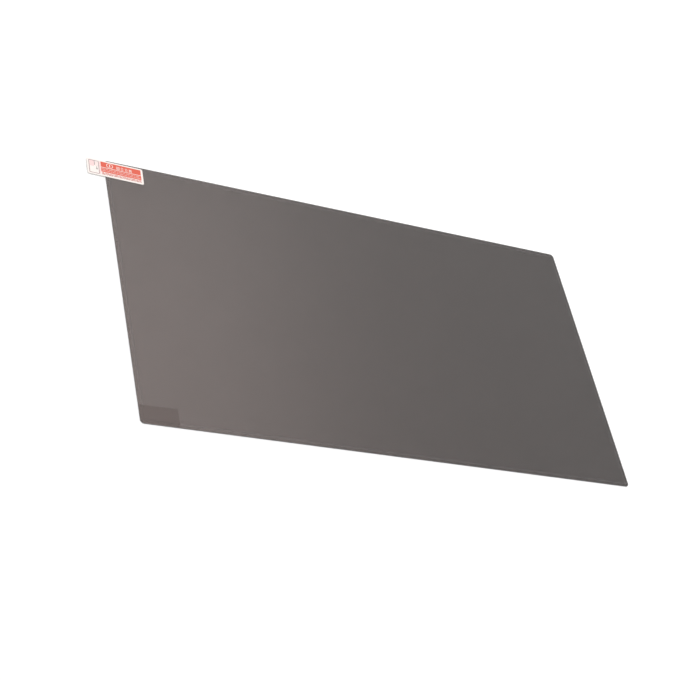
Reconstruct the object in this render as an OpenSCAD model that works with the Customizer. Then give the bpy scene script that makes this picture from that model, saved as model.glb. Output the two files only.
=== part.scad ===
// Tinted filter film for a laptop screen, with its two clear liners and their pull tabs.
// Millimetres. The origin is the centre of the filter's screen side, with +X along its
// long edge, +Y towards the edge with the front pull tab and +Z out of the seen face.

/* [Filter] */
// Long side of the filter, for a screen of 15.6 inches at 16 to 9
sheet_w = 344; // [200:1:600]
// Short side of the filter
sheet_h = 193.5; // [120:0.5:340]
// Thickness of the tinted laminate
sheet_t = 0.4; // [0.1:0.05:1]
// Radius of the die-cut corners
corner_r = 2.6; // [0.5:0.1:10]

/* [Liners] */
// Thickness of the clear liner over the seen face
front_liner_t = 0.05; // [0.02:0.01:0.2]
// Thickness of the clear liner over the screen side
back_liner_t = 0.05; // [0.02:0.01:0.2]
// Adhesive or air between two films that cling to each other
film_gap = 0.01; // [0.005:0.005:0.05]

/* [Pull tabs] */
// Length of the front tab along the long side
front_tab_w = 37; // [28:0.5:60]
// Width of the front tab
front_tab_h = 12.7; // [11:0.1:25]
// How far the front tab stands out past the short side
front_tab_overhang = 11.5; // [5:0.1:20]
// Strip of filter left bare above the middle of the front tab
front_tab_inset = 0.85; // [0.4:0.05:5]
// Turn of the front tab, which is stuck on by hand and so lies a little askew
front_tab_turn = -1.2; // [-2:0.1:2]
// Length of the back tab along the long side
back_tab_w = 24.2; // [10:0.1:60]
// Width of the back tab
back_tab_h = 12.1; // [6:0.1:25]
// Strip of filter left bare between the back tab and the short side
back_tab_side_inset = 0.3; // [0.1:0.1:5]
// Strip of filter left bare below the back tab
back_tab_inset = 0.7; // [0.1:0.1:5]
// Thickness of a tab
tab_t = 0.1; // [0.05:0.01:0.3]
// Radius of a tab's corners
tab_r = 1.2; // [0.3:0.1:3]

/* [Print on the front tab] */
// Height of the raised ink
ink_t = 0.02; // [0.01:0.01:0.05]
// White border at the right of the print
print_side = 1.6; // [0.5:0.1:4]
// White border above the print
print_top = 1; // [0.5:0.1:2]
// Length of the red bands
band_w = 26.3; // [12:0.1:26.4]
// Width of the dark red band at the top
head_band_h = 4.3; // [1:0.1:5]
// White line between the two bands
band_space = 0.4; // [0.2:0.1:1]
// Width of the light red band below it
line_band_h = 3.5; // [1:0.1:4]
// White line between the light red band and the foot
foot_space = 0.3; // [0.2:0.1:1]
// White border below the pale band of small print at the foot
print_foot = 1.4; // [0.5:0.1:1.8]
// White border at the left of the grip patch
grip_side = 1.7; // [0.5:0.1:2]
// Length of the pale patch on the end that is gripped
grip_patch_w = 3; // [2:0.1:4.5]
// Width of the pale patch on the end that is gripped
grip_patch_h = 4.7; // [2:0.1:8]

/* [Hidden] */
$fn = 64;
seen_z = sheet_t;
front_liner_z = seen_z + film_gap;
front_tab_z = front_liner_z + front_liner_t + film_gap;
back_liner_z = -film_gap - back_liner_t;
back_tab_z = back_liner_z - film_gap - tab_t;
left_x = -sheet_w / 2;
front_tab_x = left_x - front_tab_overhang + front_tab_w / 2;
front_tab_y = sheet_h / 2 - front_tab_inset - front_tab_h / 2;
back_tab_x = left_x + back_tab_side_inset;
back_tab_y = -sheet_h / 2 + back_tab_inset;
band_x = front_tab_w - print_side - band_w;
head_band_y = front_tab_h - print_top - head_band_h;
line_band_y = head_band_y - band_space - line_band_h;
foot_band_h = line_band_y - foot_space - print_foot;
grip_patch_y = front_tab_h - print_top - grip_patch_h;

// Rectangle with true arcs at its corners, drawn from its lower left corner
module rounded_rect(w, h, r) {
    translate([r, 0]) square([w - 2 * r, h]);
    translate([0, r]) square([w, h - 2 * r]);
    for (x = [r, w - r], y = [r, h - r]) translate([x, y]) circle(r);
}

// One full-size film of the stack, cut with the same die as the others
module full_film(z, t) {
    translate([left_x, -sheet_h / 2, z]) linear_extrude(t)
        rounded_rect(sheet_w, sheet_h, corner_r);
}

// Base of a tab, from its own lower left corner
module tab_base(w, h) {
    linear_extrude(tab_t) rounded_rect(w, h, tab_r);
}

// Field of raised ink, placed from the tab's lower left corner
module ink(x, y, w, h) {
    translate([x, y, tab_t]) linear_extrude(ink_t) square([w, h]);
}

// Smoked laminate that stays on the screen
module filter_sheet() {
    color([0.42, 0.39, 0.38, 0.85]) full_film(0, sheet_t);
}

// Clear film that keeps the seen face from scratches until the filter is up
module front_liner() {
    color([1, 1, 1, 0.15]) full_film(front_liner_z, front_liner_t);
}

// Clear release film that covers the adhesive on the screen side
module back_liner() {
    color([1, 1, 1, 0.15]) full_film(back_liner_z, back_liner_t);
}

// Printed tab that peels the front liner off, with its grip end clear of the filter
module front_pull_tab() {
    translate([front_tab_x, front_tab_y, front_tab_z]) rotate(front_tab_turn)
        translate([-front_tab_w / 2, -front_tab_h / 2, 0]) {
            color("white") tab_base(front_tab_w, front_tab_h);
            color("orangered") ink(band_x, head_band_y, band_w, head_band_h);
            color("salmon") ink(band_x, line_band_y, band_w, line_band_h);
            color("lightpink") ink(band_x, print_foot, band_w, foot_band_h);
            color("lightpink") ink(grip_side, grip_patch_y, grip_patch_w, grip_patch_h);
        }
}

// Tab of the back liner, seen through the film as a darker patch in the lower left corner
module back_pull_tab() {
    color("whitesmoke") translate([back_tab_x, back_tab_y, back_tab_z])
        tab_base(back_tab_w, back_tab_h);
}

filter_sheet();
front_liner();
back_liner();
front_pull_tab();
back_pull_tab();
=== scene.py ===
# Smoked filter film for a laptop screen, lying on a white table with its liners and pull tabs on.
import math

import bmesh
import bpy
from mathutils import Matrix, Vector


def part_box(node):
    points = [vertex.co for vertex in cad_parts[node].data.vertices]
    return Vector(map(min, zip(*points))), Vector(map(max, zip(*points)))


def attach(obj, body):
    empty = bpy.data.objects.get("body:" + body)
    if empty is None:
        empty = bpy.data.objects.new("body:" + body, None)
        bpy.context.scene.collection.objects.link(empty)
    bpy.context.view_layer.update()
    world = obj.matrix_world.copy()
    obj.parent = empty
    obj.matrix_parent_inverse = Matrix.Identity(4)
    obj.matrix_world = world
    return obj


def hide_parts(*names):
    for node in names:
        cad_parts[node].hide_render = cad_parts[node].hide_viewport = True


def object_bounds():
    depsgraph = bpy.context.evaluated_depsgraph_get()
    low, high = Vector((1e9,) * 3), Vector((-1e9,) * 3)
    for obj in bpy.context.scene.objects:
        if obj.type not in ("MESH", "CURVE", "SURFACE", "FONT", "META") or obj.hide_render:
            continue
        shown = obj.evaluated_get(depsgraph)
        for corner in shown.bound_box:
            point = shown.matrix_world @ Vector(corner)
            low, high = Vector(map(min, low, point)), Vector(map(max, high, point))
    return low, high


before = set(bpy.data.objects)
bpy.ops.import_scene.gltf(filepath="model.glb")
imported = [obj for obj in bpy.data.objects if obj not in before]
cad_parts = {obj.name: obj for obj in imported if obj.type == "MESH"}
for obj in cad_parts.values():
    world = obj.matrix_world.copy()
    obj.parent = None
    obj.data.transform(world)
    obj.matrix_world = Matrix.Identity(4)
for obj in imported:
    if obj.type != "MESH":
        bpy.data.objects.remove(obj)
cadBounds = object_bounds()
mm = 0.001
print("frame loaded:", sorted(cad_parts))


# Materials

def linear(hexColour):  # sRGB hex to the linear values that shaders take
    channels = [int(hexColour[i:i + 2], 16) / 255 for i in (1, 3, 5)]
    return [c / 12.92 if c <= 0.04045 else ((c + 0.055) / 1.055) ** 2.4 for c in channels] + [1]


def addNode(tree, kind, inputs=None, **settings):  # gives the node's first live output
    node = tree.nodes.new(kind)
    for name, value in settings.items():
        setattr(node, name, value)
    for name, value in (inputs or {}).items():
        live = [s for s in node.inputs if s.enabled]
        target = live[name] if isinstance(name, int) else next(s for s in live if s.name == name)
        if isinstance(value, bpy.types.NodeSocket):
            tree.links.new(value, target)
        else:
            target.default_value = value
    return next((s for s in node.outputs if s.enabled), None)


def startMaterial(name):
    material = bpy.data.materials.new(name)
    material.use_nodes = True
    tree = material.node_tree
    tree.nodes.clear()
    where = tree.nodes.new("ShaderNodeTexCoord").outputs["Object"]
    return material, tree, where


def endMaterial(material, tree, surface):
    addNode(tree, "ShaderNodeOutputMaterial", {"Surface": surface})
    return material


def addNoise(tree, where, sizeMm):
    return addNode(tree, "ShaderNodeTexNoise", {"Vector": where, "Scale": 1 / (sizeMm * mm)})


noiseMiddle = (0.3, 0.7)  # nearly all of a noise lies between these


def between(tree, noise, low, high):  # spreads the middle of a noise over a range
    return addNode(tree, "ShaderNodeMapRange", {
        "Value": noise, "From Min": noiseMiddle[0], "From Max": noiseMiddle[1],
        "To Min": low, "To Max": high})


def blend(tree, factor, hexA, hexB):
    return addNode(tree, "ShaderNodeMix", {
        "Factor": factor, "A": linear(hexA), "B": linear(hexB)}, data_type="RGBA")


# PET tinted through and hard-coated. It lets light through both ways, so on a white table it
# looks mid grey, and the coat mirrors a lamp as a broad, faint and slightly warm sheen.
smokedFilm = {
    "cornerRadius": 2.6,
    "tint": "#3a3a3a",
    "tintLight": "#3f3f3f",
    "solidShare": 0.5,  # share of the light that each face stops
    "pinchAndPaintedShadeShare": 0.6,  # pinched by the die, so it lets less through; the darker line this gives along the edge is painted shade
    "rimMm": 0.5,
    "paintedPaleLineShare": 0.41,  # a ring just inside it lets more through: a painted paler line, standing for light where the films part a little
    "paintedPaleLineMm": (1.7, 2.9),
    "ior": 1.58,
    "sheenTint": "#ffd0c1",
    "roughness": (0.27, 0.3),
    "cloudMm": 45,  # broad unevenness of the tint
    "grainMm": 0.5,  # real matting grain is near 0.03 mm, drawn coarser so that it shows
    "grainDepthMm": 0.0002,
    "cornerSegments": 12,
    "edgeRoundMm": 0.05,
    "cutTint": "#1d1b1b",  # a cut edge is seen through more film, so it looks darker
    "cutShare": 0.9,
    "cutRoughness": (0.4, 0.55),
    "burrMm": 0.2,  # unevenness that the die leaves on the cut
}


def coatedSmokedPet(name, solidShare):
    material, tree, where = startMaterial(name)
    cloud = addNoise(tree, where, smokedFilm["cloudMm"])
    grain = addNoise(tree, where, smokedFilm["grainMm"])
    bump = addNode(tree, "ShaderNodeBump", {
        "Height": grain, "Distance": smokedFilm["grainDepthMm"] * mm})
    surface = addNode(tree, "ShaderNodeBsdfPrincipled", {
        "Base Color": blend(tree, cloud, smokedFilm["tint"], smokedFilm["tintLight"]),
        "Roughness": between(tree, grain, *smokedFilm["roughness"]),
        "IOR": smokedFilm["ior"], "Alpha": solidShare,
        "Specular Tint": linear(smokedFilm["sheenTint"]), "Normal": bump})
    return endMaterial(material, tree, surface)


def cutSmokedPet():
    material, tree, where = startMaterial("cutSmokedPet")
    burr = addNoise(tree, where, smokedFilm["burrMm"])
    surface = addNode(tree, "ShaderNodeBsdfPrincipled", {
        "Base Color": blend(tree, burr, smokedFilm["cutTint"], smokedFilm["tint"]),
        "Roughness": between(tree, burr, *smokedFilm["cutRoughness"]),
        "IOR": smokedFilm["ior"], "Alpha": smokedFilm["cutShare"]})
    return endMaterial(material, tree, surface)


# Clear PET liner that clings to the film. All that shows of it is a soft reflection.
liner = {
    "ior": 1.3,
    "roughness": (0.25, 0.29),
    "tint": "#fdfdfd",
    "rubMm": 18,  # patches rubbed in handling
}


def clearPet():
    material, tree, where = startMaterial("clearPet")
    rub = addNoise(tree, where, liner["rubMm"])
    shine = addNode(tree, "ShaderNodeBsdfGlossy", {
        "Roughness": between(tree, rub, *liner["roughness"])})
    clear = addNode(tree, "ShaderNodeBsdfTransparent", {"Color": linear(liner["tint"])})
    fresnel = addNode(tree, "ShaderNodeFresnel", {"IOR": liner["ior"]})
    inside = tree.nodes.new("ShaderNodeNewGeometry").outputs["Backfacing"]
    outer = addNode(tree, "ShaderNodeMath", {0: 1.0, 1: inside}, operation="SUBTRACT")
    share = addNode(tree, "ShaderNodeMath", {0: fresnel, 1: outer}, operation="MULTIPLY")
    surface = addNode(tree, "ShaderNodeMixShader", {0: share, 1: clear, 2: shine})
    return endMaterial(material, tree, surface)


# White PET label, coated to take ink: smooth, bright and a little glossy.
label = {
    "cornerRadius": 1.2,
    "white": "#f2e9e3",
    "whiteShade": "#eee5df",
    "adhesive": "#a69e9a",  # its sticky side, seen through the film, is greyer
    "adhesiveShade": "#a09894",
    "ior": 1.5,
    "roughness": (0.3, 0.38),
    "mottleMm": 1.5,
    "cornerSegments": 8,
    "edgeRoundMm": 0.02,
}


def printablePet(name, hexA, hexB, mottleMm):
    material, tree, where = startMaterial(name)
    mottle = addNoise(tree, where, mottleMm)
    surface = addNode(tree, "ShaderNodeBsdfPrincipled", {
        "Base Color": blend(tree, mottle, hexA, hexB),
        "Roughness": between(tree, mottle, *label["roughness"]), "IOR": label["ior"]})
    return endMaterial(material, tree, surface)


# Ink on the label, screen-printed and cured: solid colour with a fine mottle from the mesh.
inks = {
    "red": ("#d4421c", "#db4c2a"),
    "pale": ("#f1cfce", "#eecbc8"),
    "rose": ("#95777a", "#9d7f82"),
    "grey": ("#756763", "#7e706c"),
    "salmon": ("#d8766a", "#da7c71"),
    "rust": ("#c3726a", "#c57870"),
    "coral": ("#dea299", "#e0a79f"),
}
inkMottleMm = 0.3


def screenInk(name):
    return printablePet(f"{name}ScreenInk", *inks[name], inkMottleMm)


# Shapes. Every flat piece starts as outlines in millimetres, which are filled and raised.
# A box is given by x and y of its lower left corner, width, height and corner radius, and a
# round by x and y of its centre, radius, number of sides and turn in degrees.

mergeMm = 0.001  # points closer than this are one
edgeFacets = 2  # across a broken edge
levelNormal = 0.99  # a face whose normal has less of Z than this is a side
topNormal = 0.9  # counts the upper facet of a broken edge as top


def addOutline(bm, shape, segments):
    kind, x, y, *sizes = shape
    if kind == "round":
        radius, sides, turn = sizes
        place = Matrix.Translation((x, y, 0)) @ Matrix.Rotation(math.radians(turn), 4, "Z")
        bmesh.ops.create_circle(bm, segments=sides, radius=radius, matrix=place)
        return
    width, height, radius = sizes
    middle = Matrix.Translation((x + width / 2, y + height / 2, 0))
    square = bmesh.ops.create_grid(bm, x_segments=1, y_segments=1, size=0.5,
                                   matrix=middle @ Matrix.Diagonal((width, height, 1, 1)))
    if radius:
        bmesh.ops.bevel(bm, geom=square["verts"], offset=radius, offset_type="OFFSET",
                        segments=segments, profile=0.5, affect="VERTICES", material=-1)
    bmesh.ops.delete(bm, geom=bm.faces, context="FACES_ONLY")


def addRegion(bm, shapes, slot, segments):  # what lies between the outlines is filled
    region = bmesh.new()
    for shape in shapes:
        addOutline(region, shape, segments)
    bmesh.ops.triangle_fill(region, use_beauty=True, edges=region.edges)
    for face in region.faces:
        face.material_index = slot
    part = bpy.data.meshes.new("region")
    region.to_mesh(part)
    region.free()
    bm.from_mesh(part)
    bpy.data.meshes.remove(part)


def joinRegions(bm):  # regions with an outline in common come to share its points
    bmesh.ops.remove_doubles(bm, verts=bm.verts, dist=mergeMm)


def insetBox(box, inset):
    kind, x, y, width, height, radius = box
    return (kind, x + inset, y + inset, width - 2 * inset, height - 2 * inset, max(radius - inset, 0))


def raiseFaces(bm, low, high):  # turns the flat faces into plates between two heights
    grown = bmesh.ops.extrude_face_region(bm, geom=bm.faces)["geom"]
    upper = [v for v in grown if isinstance(v, bmesh.types.BMVert)]
    bmesh.ops.translate(bm, vec=(0, 0, high - low), verts=upper)
    bmesh.ops.translate(bm, vec=(0, 0, low), verts=bm.verts)
    bmesh.ops.recalc_face_normals(bm, faces=bm.faces)


def isSide(face):
    return abs(face.normal.z) < levelNormal


def breakEdges(bm, offset):  # a die leaves the rims of a film slightly round
    rims = [e for e in bm.edges if sum(isSide(f) for f in e.link_faces) == 1]
    bmesh.ops.bevel(bm, geom=rims, offset=offset, offset_type="OFFSET", segments=edgeFacets,
                    profile=0.5, affect="EDGES", material=-1)


def makePiece(name, bm, materials, replaced=()):
    bmesh.ops.scale(bm, vec=(mm, mm, mm), verts=bm.verts)
    mesh = bpy.data.meshes.new(name)
    bm.to_mesh(mesh)
    bm.free()
    for material in materials:
        mesh.materials.append(material)
    piece = bpy.data.objects.new(name, mesh)
    bpy.context.scene.collection.objects.link(piece)
    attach(piece, "root")
    if replaced:
        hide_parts(*replaced)


def boxMm(node):
    return [[c / mm for c in corner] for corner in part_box(node)]


# The smoked sheet takes the outline of its solid, with a pinched rim that carries a painted dark line
# of shade, a painted paler line inside it, and broken edges.
def smokedSheet():
    low, high = boxMm("filter_sheet")
    finishes = {
        "film": coatedSmokedPet("coatedSmokedPet", smokedFilm["solidShare"]),
        "cut": cutSmokedPet(),
        # this rim stops more light than the film, which paints a dark line of shade along the edge
        "rim": coatedSmokedPet("pinchedPaintedShadeSmokedPet", smokedFilm["pinchAndPaintedShadeShare"]),
        # this ring lets more of the table through, which paints a paler line
        "lift": coatedSmokedPet("paleLinePaintedSmokedPet", smokedFilm["paintedPaleLineShare"]),
    }
    slots = {finish: slot for slot, finish in enumerate(finishes)}
    outer = ("box", low[0], low[1], high[0] - low[0], high[1] - low[1], smokedFilm["cornerRadius"])
    insets = (smokedFilm["rimMm"], *smokedFilm["paintedPaleLineMm"])
    outlines = [outer] + [insetBox(outer, inset) for inset in insets]
    bm = bmesh.new()
    for step, zone in enumerate(("rim", "film", "lift", "film")):  # three rings, the third a painted paler line, then the middle
        addRegion(bm, outlines[step:step + 2], slots[zone], smokedFilm["cornerSegments"])
    joinRegions(bm)
    raiseFaces(bm, low[2], high[2])
    breakEdges(bm, smokedFilm["edgeRoundMm"])
    for face in bm.faces:
        if isSide(face):
            face.material_index = slots["cut"]
    makePiece("smoked_sheet", bm, finishes.values(), ["filter_sheet"])


smokedSheet()
print("smoked sheet made")

linerMaterial = clearPet()
for node in ("front_liner", "back_liner"):
    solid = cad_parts[node]
    solid.data.materials.clear()
    solid.data.materials.append(linerMaterial)
print("liners finished")


# The front tab and its print, in millimetres from the tab's lower left corner.
frontTab = {
    "size": (37.0, 12.7),
    "turn": -1.2,  # stuck on by hand, a little askew
    "inkHeight": 0.02,
    "cornerSegments": 4,
    "curveSegments": 10,
    "headBand": ("box", 9.1, 7.4, 26.55, 4.3, 0.25),
    "ring": ("box", 12.85, 7.75, 4.4, 3.6, 1.8),  # oval round the number
    "ringLine": 0.36,
    "figure": ("box", 14.75, 8.6, 0.6, 1.9, 0),
    "marks": ((19.4, 0.95), (20.6, 0.95), (22.5, 1.4), (25.2, 1.4), (27.8, 0.75), (28.8, 0.75)),
    "markBottom": 8.0,
    "markHeight": 2.2,
    "markCorner": 0.15,
    "markStroke": 0.25,
    "dashLengths": (2.2, 1.3, 2.9, 1.7, 0.9),  # each row runs through these
    "dashSpace": 0.45,
    "dashCorner": 0.3,  # share of the dash's height
    "lineBand": ("box", 9.1, 3.5, 26.55, 3.5, 0.25),
    "lineMargin": 0.6,
    "lineDashHeight": 0.6,
    "lineRows": ((5.65, 0), (4.35, 2)),  # lower edge, and which length comes first
    "footStart": 9.5,
    "footDashHeight": 0.5,
    "footRows": ((2.65, 1, "salmon"), (2.0, 3, "rust"), (1.35, 5, "rust")),
    "gripFrame": ("box", 1.2, 1.1, 6.7, 10.45, 0.5),
    "gripLine": 0.42,
    "gripPatch": ("box", 1.85, 6.6, 2.8, 4.5, 0),
    "gripStrip": ("box", 8.05, 1.4, 0.9, 10.2, 0),
    "gripBarLeft": 5.5,
    "gripBarRows": (7.4, 8.6, 9.8),
    "gripBarSize": (1.7, 0.6, 0.2),
    "gripFold": ("box", 4.75, 7.7, 0.45, 3.4, 0),
    "arrowShaft": ("box", 6.15, 5.3, 0.4, 1.5, 0),
    "arrowTip": ("round", 6.35, 4.9, 0.75, 3, 180),
}


def addInk(bm, ink, shapes, segments=frontTab["cornerSegments"]):
    addRegion(bm, shapes, list(inks).index(ink), segments)


def addHeadBand(bm):  # the ring and the marks are open, and show the white label
    ring, curve = frontTab["ring"], frontTab["curveSegments"]
    marks = []
    for left, width in frontTab["marks"]:
        marks.append(("box", left, frontTab["markBottom"], width, frontTab["markHeight"],
                      frontTab["markCorner"]))
    addInk(bm, "red", [frontTab["headBand"], ring] + marks, curve)
    addInk(bm, "red", [insetBox(ring, frontTab["ringLine"]), frontTab["figure"]], curve)
    for mark in marks:
        addInk(bm, "red", [insetBox(mark, frontTab["markStroke"])])


def dashes(left, right, bottom, height, first):  # a row of short bars of mixed lengths
    lengths = frontTab["dashLengths"]
    row, x = [], left
    while x + min(lengths) <= right:
        length = min(lengths[first % len(lengths)], right - x)
        row.append(("box", x, bottom, length, height, height * frontTab["dashCorner"]))
        x += length + frontTab["dashSpace"]
        first += 1
    return row


def addDashRows(bm):  # on the lower band, and under it at the foot
    band, margin = frontTab["lineBand"], frontTab["lineMargin"]
    left, right = band[1], band[1] + band[3]
    bandDashes = []
    for bottom, first in frontTab["lineRows"]:
        bandDashes += dashes(left + margin, right - margin, bottom, frontTab["lineDashHeight"], first)
    addInk(bm, "red", [band] + bandDashes)
    for dash in bandDashes:
        addInk(bm, "coral", [dash])
    for bottom, first, ink in frontTab["footRows"]:
        for dash in dashes(frontTab["footStart"], right, bottom, frontTab["footDashHeight"], first):
            addInk(bm, ink, [dash])


def addGripPrint(bm):
    cell = frontTab["gripFrame"]
    addInk(bm, "rose", [cell, insetBox(cell, frontTab["gripLine"])])
    addInk(bm, "pale", [frontTab["gripPatch"]])
    addInk(bm, "pale", [frontTab["gripStrip"]])
    for bottom in frontTab["gripBarRows"]:
        addInk(bm, "pale", [("box", frontTab["gripBarLeft"], bottom, *frontTab["gripBarSize"])])
    addInk(bm, "rose", [frontTab["gripFold"]])
    addInk(bm, "grey", [frontTab["arrowShaft"]])
    addInk(bm, "grey", [frontTab["arrowTip"]])


def placeTab(bm, size, turn, low, high):  # from its own corner to the middle of its node's box
    middle = [(a + b) / 2 for a, b in zip(low[:2], high[:2])]
    place = (Matrix.Translation((*middle, 0)) @ Matrix.Rotation(math.radians(turn), 4, "Z")
             @ Matrix.Translation((-size[0] / 2, -size[1] / 2, 0)))
    bmesh.ops.transform(bm, matrix=place, verts=bm.verts)


def frontTabPrint(low, high):
    bm = bmesh.new()
    addHeadBand(bm)
    addDashRows(bm)
    addGripPrint(bm)
    joinRegions(bm)
    placeTab(bm, frontTab["size"], frontTab["turn"], low, high)
    raiseFaces(bm, high[2] - frontTab["inkHeight"], high[2])
    makePiece("front_tab_print", bm, [screenInk(name) for name in inks])


def labelPlate(name, size, turn, low, high, materials, replaced):  # a second material goes on top
    bm = bmesh.new()
    addRegion(bm, [("box", 0, 0, *size, label["cornerRadius"])], 0, label["cornerSegments"])
    placeTab(bm, size, turn, low, high)
    raiseFaces(bm, low[2], high[2])
    breakEdges(bm, label["edgeRoundMm"])
    if len(materials) > 1:
        for face in bm.faces:
            face.material_index = int(face.normal.z > topNormal)
    makePiece(name, bm, materials, replaced)


whiteLabel = printablePet("whiteLabelPet", label["white"], label["whiteShade"], label["mottleMm"])
low, high = boxMm("front_pull_tab")
frontTabPrint(low, high)
high[2] -= frontTab["inkHeight"]
labelPlate("front_tab_label", frontTab["size"], frontTab["turn"], low, high,
           [whiteLabel], ["front_pull_tab"])

stickySide = printablePet("labelAdhesive", label["adhesive"], label["adhesiveShade"], label["mottleMm"])
low, high = boxMm("back_pull_tab")
backTabSize = (high[0] - low[0], high[1] - low[1])
labelPlate("back_tab_label", backTabSize, 0, low, high, [whiteLabel, stickySide], ["back_pull_tab"])
print("pull tabs made")


# Table, light and camera, with lengths in metres where the name doesn't say millimetres.

studio = {
    "tableSize": 8.0,
    "tableColour": "#f2f2f2",
    "tableLift": 0.14,  # what the camera's white background adds to the table's own light
    "tableGapMm": 0.005,
    "skyLight": (0.363, 1.19),  # at the horizon and overhead
    "softboxRadiance": 2.58,
    "softboxSize": (1.2, 1.15),
    "softboxPlace": (0.293, 1.06, 1.5),  # where the sheet's left half mirrors it to the camera
}


def lookRays(tree):  # 1 for rays that look at the background, and 0 for those that light things
    rays = tree.nodes.new("ShaderNodeLightPath").outputs
    both = addNode(tree, "ShaderNodeMath", {
        0: rays["Is Camera Ray"], 1: rays["Is Glossy Ray"]}, operation="MAXIMUM")
    return addNode(tree, "ShaderNodeMath", {
        0: both, 1: rays["Is Transmission Ray"]}, operation="MAXIMUM")


def makeTable():
    material, tree, _ = startMaterial("whiteTable")
    matt = addNode(tree, "ShaderNodeBsdfDiffuse", {"Color": linear(studio["tableColour"])})
    lift = addNode(tree, "ShaderNodeMath", {
        0: lookRays(tree), 1: studio["tableLift"]}, operation="MULTIPLY")
    glow = addNode(tree, "ShaderNodeEmission", {"Strength": lift})
    endMaterial(material, tree, addNode(tree, "ShaderNodeAddShader", {0: matt, 1: glow}))
    bm = bmesh.new()
    top = cadBounds[0].z - studio["tableGapMm"] * mm
    bmesh.ops.create_grid(bm, x_segments=1, y_segments=1, size=studio["tableSize"] / 2,
                          matrix=Matrix.Translation((0, 0, top)))
    mesh = bpy.data.meshes.new("table")
    bm.to_mesh(mesh)
    bm.free()
    mesh.materials.append(material)
    table = bpy.data.objects.new("table", mesh)
    bpy.context.scene.collection.objects.link(table)


def makeSky():
    world = bpy.data.worlds.new("studioSky")
    bpy.context.scene.world = world
    world.use_nodes = True
    tree = world.node_tree
    tree.nodes.clear()
    direction = tree.nodes.new("ShaderNodeTexCoord").outputs["Generated"]
    parts = tree.nodes.new("ShaderNodeSeparateXYZ")
    tree.links.new(direction, parts.inputs["Vector"])
    horizon, overhead = studio["skyLight"]
    light = addNode(tree, "ShaderNodeMapRange", {
        "Value": parts.outputs["Z"], "To Min": horizon, "To Max": overhead})
    seen = tree.nodes.new("ShaderNodeLightPath").outputs["Is Camera Ray"]
    strength = addNode(tree, "ShaderNodeMath", {0: seen, 1: light}, operation="MAXIMUM")
    sky = addNode(tree, "ShaderNodeBackground", {"Color": (1, 1, 1, 1), "Strength": strength})
    addNode(tree, "ShaderNodeOutputWorld", {"Surface": sky})


def makeSoftbox():  # it faces straight down
    lamp = bpy.data.lights.new("softbox", "AREA")
    lamp.shape = "RECTANGLE"
    lamp.size, lamp.size_y = studio["softboxSize"]
    lamp.energy = studio["softboxRadiance"] * math.pi * lamp.size * lamp.size_y
    softbox = bpy.data.objects.new("softbox", lamp)
    softbox.location = studio["softboxPlace"]
    bpy.context.scene.collection.objects.link(softbox)


view = {
    "aimMm": (-27.36, -14.25, 0.23),
    "distance": 1.0467,
    "azimuth": -40.73,  # in degrees, as the next two are
    "elevation": 41.75,
    "roll": 39.32,
    "lensMm": 89.72,
    "sensorMm": 36,
    "nearClip": 0.01,
}


def makeCamera():
    camera = bpy.data.objects.new("camera", bpy.data.cameras.new("camera"))
    camera.data.lens = view["lensMm"]
    camera.data.sensor_width = view["sensorMm"]
    camera.data.clip_start = view["nearClip"]
    turn = (Matrix.Rotation(math.radians(view["azimuth"]), 4, "Z")
            @ Matrix.Rotation(math.radians(90 - view["elevation"]), 4, "X")
            @ Matrix.Rotation(math.radians(view["roll"]), 4, "Z"))
    aim = Vector(view["aimMm"]) * mm
    camera.matrix_world = Matrix.Translation(aim) @ turn @ Matrix.Translation((0, 0, view["distance"]))
    bpy.context.scene.collection.objects.link(camera)
    bpy.context.scene.camera = camera


makeTable()
makeSky()
makeSoftbox()
makeCamera()
bpy.context.scene.view_settings.view_transform = "Standard"
print("table, light and camera set")
